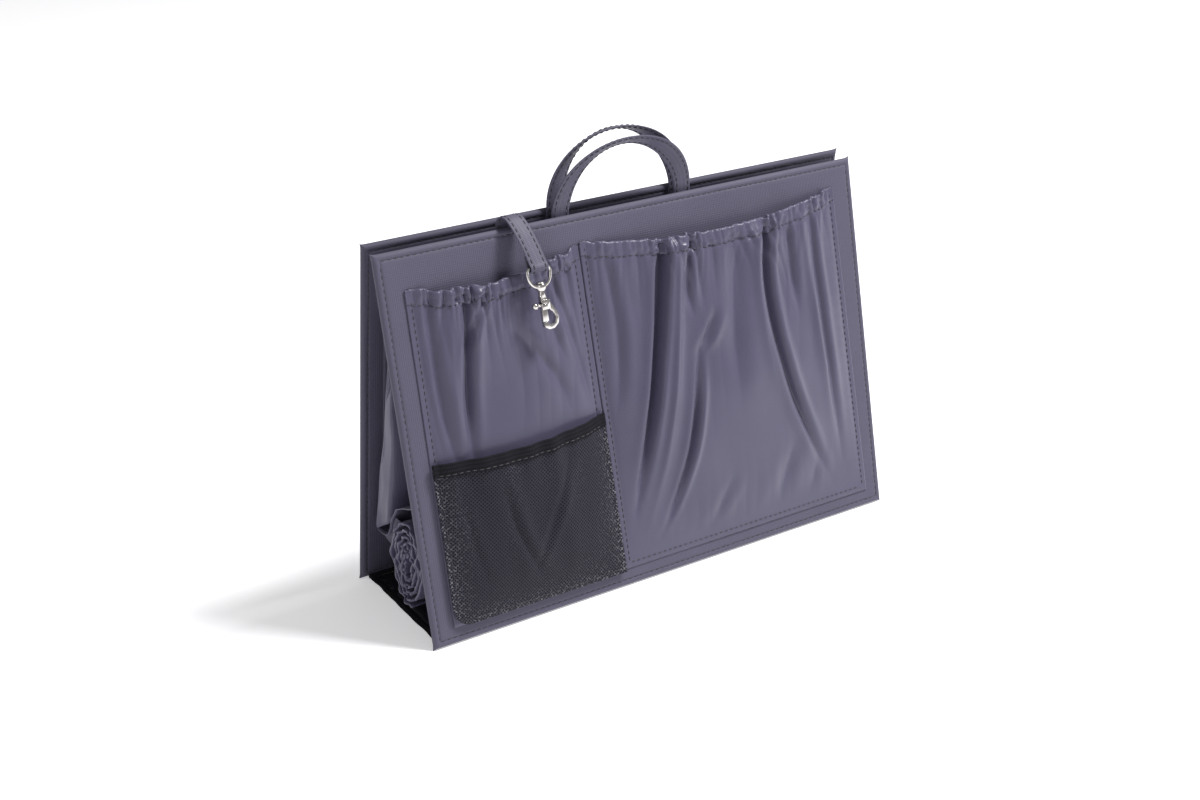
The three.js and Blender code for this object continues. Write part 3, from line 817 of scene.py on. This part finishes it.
def mark_painted_glints(piece, low_x, high_x, low_z, fade):
    """Notes, point by point, how much painted glint of light the net's yarn gets: most close to a sewn edge,
    a little in random patches.
    """
    points = np.array([v.co for v in piece.data.vertices]) / MM
    near = np.minimum(np.minimum(points[:, 0] - low_x, high_x - points[:, 0]), points[:, 2] - low_z)
    folds = np.clip(wander(points[:, 0], points[:, 2] * 0.35, 58, 26), 0, 1)
    value = 0.75 * np.exp(-np.maximum(near, 0) / fade) + 0.10 * folds
    # The stretch attribute holds the share of painted glints of light on the yarn.
    layer = piece.data.attributes.new("stretch", "FLOAT", "POINT")
    layer.data.foreach_set("value", np.clip(value, 0, 1).astype(np.float32))


net = cloth("mesh_pocket_net", net_place, np.linspace(0, 1, 110), np.linspace(0, 1, 80), pocket_net,
            (126, 104), thick=0.35)
mark_painted_glints(net, -157, -38, 10, 5.0)
fitted(net, "front_panel", ["mesh_pocket"])
tape_lines = np.concatenate([np.linspace(0, 1, 7)[:-1], np.linspace(1, 1.3, 6)[:-1],
                             np.linspace(1.3, 2.3, 6)])
tape = cloth("mesh_pocket_tape", tape_place, np.linspace(0, 1, 130), tape_lines, binding_tape,
             (124, 18), thick=0.55)
fitted(tape, "front_panel", ["mesh_pocket_binding"])
tape_run = np.linspace(0.02, 0.98, 120)
foot_run = np.linspace(0.10, 0.98, 110)
side_run = np.linspace(0.10, 0.90, 90)
seam("mesh_pocket_stitches", [
    on_sheet(tape_place, tape_run, np.full_like(tape_run, 0.16), lift=0.1),
    on_sheet(net_place, foot_run, np.full_like(foot_run, 0.03)),
    on_sheet(net_place, np.full_like(side_run, 0.028), side_run)], "front_panel")

# %% [markdown]
# ## The back panel's pockets
# Outside, one wide pocket is stitched down its middle into two; inside, a flat slip pocket takes
# papers. Both are made as the front ones are, with fewer folds because their cloth is less full.

# %% Back pockets
twin = Pocket(
    back, left=(-157, -157), right=(157, 157), low=11,
    top=lambda s: 206 - 6 * np.abs(np.sin(2 * math.pi * np.clip(s, 0, 1))) ** 0.8,
    belly=7.6, mouth=5.6, bays=2, seed=61,
    folds=[
        ([(196, -110), (150, -114), (90, -122)], 3.0, 3.0, 1.2),
        ([(196, -62), (150, -58), (100, -48)], 2.6, 2.6, 1.0),
        ([(196, 55), (150, 52), (96, 40)], 2.8, 2.8, 1.2),
        ([(196, 112), (150, 116), (84, 124)], 3.0, 3.0, 1.2),
    ])
twin.build("back_outer_pocket", "back_panel", columns=280)
elastic(twin, "back_outer", "back_panel")
middle_run = np.linspace(0.02, 0.98, 120)
seam("back_outer_middle_stitches",
     [on_sheet(twin.place, np.full_like(middle_run, 0.5), middle_run, lift=0.2)], "back_panel")


SLIP_LOW, SLIP_TALL = 50, 149.4


def slip_place(s, t):
    """The slip pocket lies inside, its mouth a little open, with a folded hem 9 mm deep."""
    face, turn, fall = hem_steps(t)
    v = SLIP_LOW + SLIP_TALL * face
    x = 158 - 316 * s
    out = swell(np.clip((s - 0.02) / 0.96, 0, 1), np.clip((v - 54) / 144, 0, 1), 2.6, 5.6)
    held = np.abs(np.sin(math.pi * s)) ** 0.5 * rise(0, 0.1, face)
    out = out + held * (0.6 * wander(x, v, 71, 48) + 0.4 * wander(x, v * 0.3, 72, 16))
    out = out - 0.4 * held * np.exp(-((v - 190) / 0.8) ** 2)
    n = -0.7 - np.maximum(out, 0) + 0.5 * (1 - np.cos(math.pi * turn))
    return back(x, v + 0.5 * np.sin(math.pi * turn) - 8.6 * fall, np.minimum(n, -0.25))


slip = cloth("back_inner_pocket_cloth", slip_place, np.linspace(0, 1, 150), hem_lines(76, 5, 4),
             lining_nylon, (318, 160), thick=0.4)
fitted(slip, "back_panel", ["back_inner_pocket"])
slip_x, slip_v = np.linspace(0.01, 0.99, 200), np.linspace(0.02, 0.98, 100)
seam("back_inner_pocket_stitches", [
    on_sheet(slip_place, slip_x, np.full_like(slip_x, 140 / SLIP_TALL)),
    on_sheet(slip_place, slip_x, np.full_like(slip_x, 0.02)),
    on_sheet(slip_place, np.full_like(slip_v, 0.01), slip_v),
    on_sheet(slip_place, np.full_like(slip_v, 0.99), slip_v)], "back_panel")

# %% [markdown]
# ## The bellows pocket
# Inside the front panel hangs a deep pocket whose ends are folded in like a bellows. One long
# sheet is its wall and floor; a three-cornered gusset closes each end and folds inward along its
# middle.

# %% Bellows pocket
BELLOWS_HALF = 165.0
WALL = np.array([(6.2, 186.5), (6.4, 183), (24.5, 147), (37, 120), (50.5, 99.5), (60, 80), (70.5, 61.2),
                 (70, 58.6), (63, 57.0), (56, 57.4), (49, 62), (43.5, 69), (35, 77), (24, 80.8), (0.8, 83)])
WALL_TOP, WALL_BACK = 186.0, 83
SEAM_EDGE = 34
WALL_REACH = np.concatenate([[0], np.cumsum(np.hypot(*np.diff(WALL, axis=0).T))])
TIP_REACH = WALL_REACH[7]


def wall_at(reach):
    """The wall's section: how far it lies in from the lining, and how high, along its length."""
    return np.interp(reach, WALL_REACH, WALL[:, 0]), np.interp(reach, WALL_REACH, WALL[:, 1])


def wall_place(x, reach):
    """The wall and floor of the bellows pocket: its section, with a soft sag between its sewn edges."""
    m, v = wall_at(reach)
    body_share = rise(0, 30, reach) * rise(0, 25, WALL_REACH[-1] - reach)
    sag = 2.2 * wander(x, reach * 0.5, 81, 62) + 0.9 * wander(x * 0.6, reach, 82, 20)
    m = m + body_share * (sag - 1.2)
    v = v + body_share * 1.2 * wander(x, reach, 83, 45)
    return front(x, v, -np.maximum(m, 0.5))


def gusset(hand):
    """place(a, t) of an end gusset: from the wall's edge to the lining, folded inward along its middle."""
    def place(a, t):
        wall_m, wall_v = wall_at(TIP_REACH * (1 - t))
        m = wall_m * (1 - a) + 0.6 * a
        v = wall_v * (1 - a) + (WALL_BACK + (WALL_TOP - WALL_BACK) * t) * a
        deep = 50 * rise(-0.5, 0.3, t) * (0.3 + 0.7 * np.clip(wall_m / 50, 0, 1))
        turn_in = 0.22 + 0.05 * np.sin(4 * t)
        tuck = 5 * a + deep * rise(turn_in, turn_in + 0.22, a) * (1 - rise(0.6, 1.0, a))
        tuck = tuck + 1.1 * wander(a * 40, t * 70, 84, 26) * rise(0, 0.1, a) * rise(0, 0.1, 1 - a)
        return front(hand * (BELLOWS_HALF - np.maximum(tuck, 0)), v, -m)
    return place


def allowance(hand):
    """The raw edge of the end seam, which hangs below the gusset from the tip towards the roll."""
    def place(a, q):
        m, v = wall_at(TIP_REACH + SEAM_EDGE * a)
        drop = (3 + 7 * np.sin(math.pi * np.clip(a * 0.8 + 0.15, 0, 1))) * q
        ragged = 1.6 * wander(a * 60, q * 10, 86, 11) * q
        return front(hand * (BELLOWS_HALF - 1.5 - 3.0 * q + ragged), v - drop + ragged * 0.5, -m + 2.5 * q)
    return place


def press(piece):
    """Gives a piece of bellows cloth its own copy of its mesh."""
    tuple(front(0, 100, 0))
    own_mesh(piece)


wall = cloth("bellows_pocket_wall", wall_place, np.linspace(BELLOWS_HALF, -BELLOWS_HALF, 140),
             np.linspace(0, WALL_REACH[-1], 90), pocket_nylon, (2 * BELLOWS_HALF, WALL_REACH[-1]),
             offset=0)
fitted(wall, "front_panel", ["front_inner_pocket"])
press(wall)
for side_name, hand in (("left", -1), ("right", 1)):
    end = cloth("bellows_gusset_" + side_name, gusset(hand), np.linspace(0, 1, 60)[::-hand],
                np.linspace(0, 1, 60), pocket_nylon, (95, 140), offset=0)
    fitted(end, "front_panel", [])
    press(end)
    edge = cloth("bellows_seam_edge_" + side_name, allowance(hand), np.linspace(0, 1, 40)[::-hand],
                 np.linspace(0, 1, 8), lining_nylon, (SEAM_EDGE, 10), thick=0.4, offset=0)
    fitted(edge, "front_panel", [])
    press(edge)

# %% [markdown]
# ## The rolled mat
# A thin padded mat is rolled and lies on the base. It is one sheet wound in a flattened spiral, so
# its end shows the real turns; the ends of the sheet crinkle where the stitching draws them up.

# %% Mat
MAT_LOW, MAT_HIGH, TURNS = -167.0, 130.0, 4.7
MAT_CENTRE = (-11.0, 38.0)
MAT_TILT = math.radians(6)
OUTER_WIDE, OUTER_TALL = 19.6, 29.4
PITCH_WIDE, PITCH_TALL = 3.75, 4.35


def mat_place(x, turn):
    """The rolled mat at x along it, after so many turns inward from its loose end."""
    near_end = np.exp(-np.minimum(x - MAT_LOW, MAT_HIGH - x) / 16)
    angle = 2 * math.pi * turn - 1.9
    wave = 0.55 * wander(turn * 95, x * 0.25, 91, 13) + near_end * 1.15 * wander(turn * 110, x * 0.1, 92, 7.5)
    tight = turn + 0.12 * wave
    wide, tall = OUTER_WIDE - PITCH_WIDE * tight, OUTER_TALL - PITCH_TALL * tight
    y = wide * np.cos(angle) * (1 + 0.10 * np.cos(2 * angle))
    z = tall * np.sin(angle)
    along = x + near_end * (1.3 * wander(turn * 120, 0 * x, 93, 9)) * np.sign(x)
    turned_y = y * math.cos(MAT_TILT) - z * math.sin(MAT_TILT)
    turned_z = y * math.sin(MAT_TILT) + z * math.cos(MAT_TILT)
    return np.stack([along, MAT_CENTRE[0] + turned_y, MAT_CENTRE[1] + turned_z], axis=-1) * MM


radii = [math.hypot(OUTER_WIDE - PITCH_WIDE * t, OUTER_TALL - PITCH_TALL * t) / 2 ** 0.5
         for t in np.linspace(0, TURNS, 200)]
mat_length = 2 * math.pi * sum(radii) * TURNS / 200
mat = cloth("changing_mat_roll", mat_place, lines(MAT_LOW, MAT_HIGH, 5, (0, 0.8, 2, 3.5, 5.5, 8, 12)),
            np.linspace(0, TURNS, 330), mat_nylon, (297, mat_length), thick=1.5, offset=0)
fitted(mat, "mat_roll", ["changing_mat"])
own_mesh(mat)

# %% [markdown]
# ## The base
# The base is one piece of soft black net, a little too long for its place, so it lies in creases.
# Its two open ends are bound, and its long sides are bound to the panels' feet with a round seam.

# %% Base
BASE_HALF, BASE_DEPTH = 162.0, 44.4


def base_place(x, y):
    """The base's net, creased in its middle and flat along its bound sides."""
    away = rise(0, 26, BASE_DEPTH - np.abs(y))
    crumple = np.abs(wander(x, y, 101, 27)) * 1.9 + 0.9 * np.abs(wander(x, y * 1.4, 102, 11))
    z = 0.5 + away * crumple
    return np.stack([x, y, z], axis=-1) * MM


def fold_in_two(piece):
    """Bakes a piece's place in the room into its mesh."""
    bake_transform(piece)


base = cloth("base_net", base_place, np.linspace(-BASE_HALF, BASE_HALF, 150),
             np.linspace(-BASE_DEPTH, BASE_DEPTH, 60), base_net, (317, 89), thick=0.4, offset=1)
fitted(base, None, ["base_front", "base_rear"])
fold_in_two(base)


def tube(name, ring, along, around, material, size):
    """A closed piece swept along a line: ring(place, angle) gives its skin."""
    return close_tube(cloth(name, ring, along, np.linspace(0, 2 * math.pi, around + 1), material, size,
                            thick=0))


def hem_ring(hand):
    """The skin of the binding along one open end of the base."""
    def ring(y, angle):
        lift = 0.55 + 0.45 * np.abs(wander(y, 0 * y, 103, 19))
        x = hand * (162.6 + 4.3 * np.cos(angle) + 0.7 * wander(y, 0 * y, 104, 23))
        z = 0.05 + lift + (0.75 + 0.1 * np.cos(angle)) * np.sin(angle) * 0.72
        return np.stack([x, y, z], axis=-1) * MM
    return ring


for side_name, hand in (("left", -1), ("right", 1)):
    hem = tube("base_hem_" + side_name, hem_ring(hand), np.linspace(-44.2, 44.2, 60), 16, binding_tape,
               (89, 20))
    fitted(hem, None, ["base_front_hem_" + side_name, "base_rear_hem_" + side_name])
    fold_in_two(hem)


def bead(name, node, body):
    """The bound seam at a panel's foot: a cord under ribbed tape, so its skin is drawn in between ribs."""
    low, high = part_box(node)
    y, z = (low.y + high.y) / 2 / MM, (low.z + high.z) / 2 / MM

    def ring(x, angle):
        radius = 1.42 + 0.07 * np.sin(x * 2 * math.pi / 3.2)
        return np.stack([x, y + radius * np.cos(angle), z + radius * np.sin(angle)], axis=-1) * MM
    piece = tube(name, ring, np.linspace(low.x / MM, high.x / MM, 300), 12, binding_tape, (334, 9))
    fitted(piece, body, [node])


bead("front_seam_binding", "front_seam_bead", "front_seam")
bead("rear_seam_binding", "rear_seam_bead", "rear_seam")

# %% [markdown]
# ## Straps
# A strap is a strip of nylon folded in four and stitched along both edges. It is sewn inside the
# panel, stands up as a loop and twists as it bends, so that it shows its edge at the crown. One
# sweep makes every strap from a line of points with a width direction at each.

# %% Strap helper
STRAP_SEAM = 2.0


def smooth_line(points, count):
    """A smooth curve through given points, with even steps."""
    points = np.asarray(points, float)
    ends = np.vstack([2 * points[0] - points[1], points, 2 * points[-1] - points[-2]])
    share = np.linspace(0, len(points) - 1 - 1e-9, count * 4)
    k = share.astype(int)
    f = (share - k)[:, None]
    p0, p1, p2, p3 = ends[k], ends[k + 1], ends[k + 2], ends[k + 3]
    line = 0.5 * (2 * p1 + (p2 - p0) * f + (2 * p0 - 5 * p1 + 4 * p2 - p3) * f ** 2
                  + (3 * p1 - p0 - 3 * p2 + p3) * f ** 3)
    reach = np.concatenate([[0], np.cumsum(np.linalg.norm(np.diff(line, axis=0), axis=1))])
    even = np.linspace(0, reach[-1], count)
    return np.stack([np.interp(even, reach, line[:, i]) for i in range(line.shape[1])], axis=-1)


def strap(name, centre, wide, flat_out, half_width, half_thick, seed):
    """Sweeps a flat rounded section. centre, wide and flat_out hold a place and two directions per step."""
    count = len(centre)
    length = np.linalg.norm(np.diff(centre, axis=0), axis=1).sum()

    def ring(k, angle):
        across = np.sign(np.cos(angle)) * np.abs(np.cos(angle)) ** 0.55
        through = np.sign(np.sin(angle)) * np.abs(np.sin(angle)) ** 0.75
        width = np.interp(k, np.arange(count), half_width)
        sunk = 1 - 0.30 * np.exp(-((np.abs(across) * width - width + STRAP_SEAM) / 0.5) ** 2)
        thick = half_thick * sunk * (1 + 0.10 * wander(k * 1.5, across * 5, seed, 12))
        at, w, f = (np.stack([np.interp(k, np.arange(count), line[:, i]) for i in range(3)], axis=-1)
                    for line in (centre, wide, flat_out))
        return (at + w * (across * width)[:, None] + f * (through * thick)[:, None]) * MM
    made = tube(name, ring, np.arange(count), 36, strap_nylon, (length, 26))
    runs = []
    for edge in (-1, 1):
        for face in (-1, 1):
            line = centre + wide * (edge * (half_width - STRAP_SEAM))[:, None]
            line = line + flat_out * face * (half_thick + 0.05)
            runs.append((line * MM, flat_out * face))
    return made, runs


def unit(vectors):
    """The same directions, one unit long."""
    return vectors / np.linalg.norm(vectors, axis=1, keepdims=True)


# %% Carrying loops
STRAP_HALF, STRAP_THIN = 6.0, 0.8
LOOP_MIDDLE, LOOP_HALF, TWIST = -2.5, 44.0, math.radians(65)
FOOT_LOW, FOOT_TOP = 209.5, 234.6
FOOT_STEPS = 12
SUNK_IN = -1.1


def loop(name, panel, turned, rise_high, lean, nodes, seed):
    """Two sewn feet joined by an arch that leans and twists."""
    start = panel(0, HEIGHT, SUNK_IN) / MM
    legs = np.linspace(FOOT_LOW, FOOT_TOP, FOOT_STEPS)
    arch = np.linspace(0, math.pi, 90)[1:-1]
    out_panel = (panel(0, 0, 1) - panel(0, 0, 0)) / MM
    crown = rise_high * np.sin(arch)
    arch_centre = np.stack([LOOP_MIDDLE - LOOP_HALF * np.cos(arch), start[1] + lean * crown / rise_high,
                            start[2] + crown], axis=-1)
    radial = unit(np.stack([-rise_high * np.cos(arch), 0 * arch, LOOP_HALF * np.sin(arch)], axis=-1))
    twist = (TWIST * np.sin(arch) ** 2)[:, None]
    sideways = np.tile(turned * out_panel, (len(arch), 1))
    arch_wide = radial * np.cos(twist) + sideways * np.sin(twist)
    arch_flat = sideways * np.cos(twist) - radial * np.sin(twist)
    left = panel(turned * (LOOP_MIDDLE - LOOP_HALF), legs, SUNK_IN) / MM
    right = panel(turned * (LOOP_MIDDLE + LOOP_HALF), legs[::-1], SUNK_IN) / MM
    centre = np.vstack([left, arch_centre, right])
    per_step, outward = (FOOT_STEPS, 1), np.tile(turned * out_panel, (FOOT_STEPS, 1))
    wide = np.vstack([np.tile((-1, 0, 0), per_step), arch_wide, np.tile((1, 0, 0), per_step)])
    flat_out = np.vstack([outward, arch_flat, outward])
    foot_half = np.zeros(FOOT_STEPS)
    half = STRAP_HALF - 1.0 * np.concatenate([foot_half, np.sin(arch) ** 2, foot_half])
    piece, runs = strap(name, centre, wide, flat_out, half, STRAP_THIN, seed)
    fitted(piece, None, nodes)
    thread_runs = seam(name + "_stitches", runs, None)
    low, high = panel(0, 233, SUNK_IN), panel(0, 239, SUNK_IN)
    for each in (piece, thread_runs):
        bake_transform(each)


loop("front_carrying_loop", front, 1, 40, -4.7,
     ["front_handle", "front_handle_foot_left", "front_handle_foot_right"], 111)
loop("back_carrying_loop", back, -1, 42, 3.0,
     ["back_handle", "back_handle_foot_left", "back_handle_foot_right"], 112)

# %% Key strap
KEY_X, KEY_DRIFT, EYE_V, EYE_N = -84.0, 6.0, 211.5, 21.3
EYE_ROUND = 2.15
key_points = [(KEY_X, 209.5, -1.1), (KEY_X, 222, -1.1), (KEY_X, 234, -1.1), (KEY_X, 237.6, -0.9),
              (KEY_X + 0.6, 240.2, 0.6), (KEY_X + 1.2, 241.8, 4.0), (KEY_X + 2.0, 239.6, 8.9),
              (KEY_X + 3.4, 232.5, 14.0), (KEY_X + 4.8, 223.5, 18.2), (KEY_X + 5.6, 217.0, 20.8)]
for turn in np.linspace(0.15, 1.35, 9) * math.pi:
    key_points.append((KEY_X + KEY_DRIFT, EYE_V + EYE_ROUND * math.cos(turn),
                       EYE_N + EYE_ROUND * math.sin(turn)))
key_points += [(KEY_X + 5.8, 214.2, 18.2), (KEY_X + 5.4, 219.0, 17.9)]
key_line = smooth_line(key_points, 110)
key_centre = front(key_line[:, 0], key_line[:, 1], key_line[:, 2]) / MM
forward = unit(np.gradient(key_centre, axis=0))
key_wide = np.tile((1.0, 0.0, 0.0), (len(key_centre), 1))
key_wide = unit(key_wide - forward * (forward * key_wide).sum(1)[:, None])
key_flat = np.cross(key_wide, forward)
key_half = np.full(len(key_centre), 5.8)
key_piece, key_runs = strap("key_strap_band", key_centre, key_wide, key_flat, key_half, 0.62, 113)
fitted(key_piece, None, ["key_strap_tail", "key_strap_foot"])
key_thread = seam("key_strap_stitches", key_runs[::2] + key_runs[1::2], None)
for each in (key_piece, key_thread):
    tuple(front(KEY_X, 236, -0.9))
    tuple(front(KEY_X, 236, 3.5))
    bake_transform(each)

# %% [markdown]
# ## The clasp and the boards
# The clasp is die cast and nickel plated. Its CAD pieces already have their true shapes, so each is
# copied, its loose triangles are merged, and its sharp edges get the small radius that plating
# leaves. The boards keep their CAD shape and get their own plastic.

# %% Clasp
def plated(node, name, body, radius):
    """A copy of a CAD node with merged points, softened edges and a plated finish."""
    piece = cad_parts[node].copy()
    piece.data = piece.data.copy()
    piece.name = piece.data.name = name
    for key in list(piece.keys()):
        del piece[key]
    piece.parent = None
    bpy.context.scene.collection.objects.link(piece)
    piece.hide_render = piece.hide_viewport = False
    bpy.context.view_layer.objects.active = piece
    piece.select_set(True)
    bpy.ops.object.mode_set(mode="EDIT")
    bpy.ops.mesh.select_all(action="SELECT")
    bpy.ops.mesh.remove_doubles(threshold=0.000004)
    bpy.ops.mesh.dissolve_limited(angle_limit=math.radians(1.5))
    bpy.ops.object.mode_set(mode="OBJECT")
    finish_with(piece, "BEVEL", width=radius * MM, segments=2, limit_method="ANGLE",
                angle_limit=math.radians(48), use_clamp_overlap=True)
    finish_with(piece, "TRIANGULATE")
    bpy.ops.object.shade_smooth_by_angle(angle=math.radians(46))
    bpy.ops.object.select_all(action="DESELECT")
    piece.data.materials.clear()
    piece.data.materials.append(nickel)
    fitted(piece, body, [node])


for node, body in (("clasp_bow", "clasp_bow"), ("hook_body", "snap_hook"), ("swivel_rivet", "snap_hook"),
                   ("gate_pin", "snap_hook"), ("gate_spring", "snap_hook"), ("gate_lever", "gate")):
    plated(node, node + "_plated", body, 0.16)
for node in ("front_board", "back_board"):
    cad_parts[node].data.materials.clear()
    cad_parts[node].data.materials.append(board_sheet)

# %% Floor
def white_floor():
    """A matt white table that lights itself a little, so that it stays white."""
    bpy.ops.mesh.primitive_plane_add(size=9)
    floor = bpy.context.object
    floor.name = "floor"
    made, _, shader = blank("matt_white_paper")
    shader.inputs["Base Color"].default_value = (0.90, 0.90, 0.92, 1)
    shader.inputs["Emission Color"].default_value = (1, 1, 1, 1)
    shader.inputs["Emission Strength"].default_value = 0.35
    shader.inputs["Roughness"].default_value = 0.9
    floor.data.materials.append(made)
    bpy.ops.object.select_all(action="DESELECT")


white_floor()
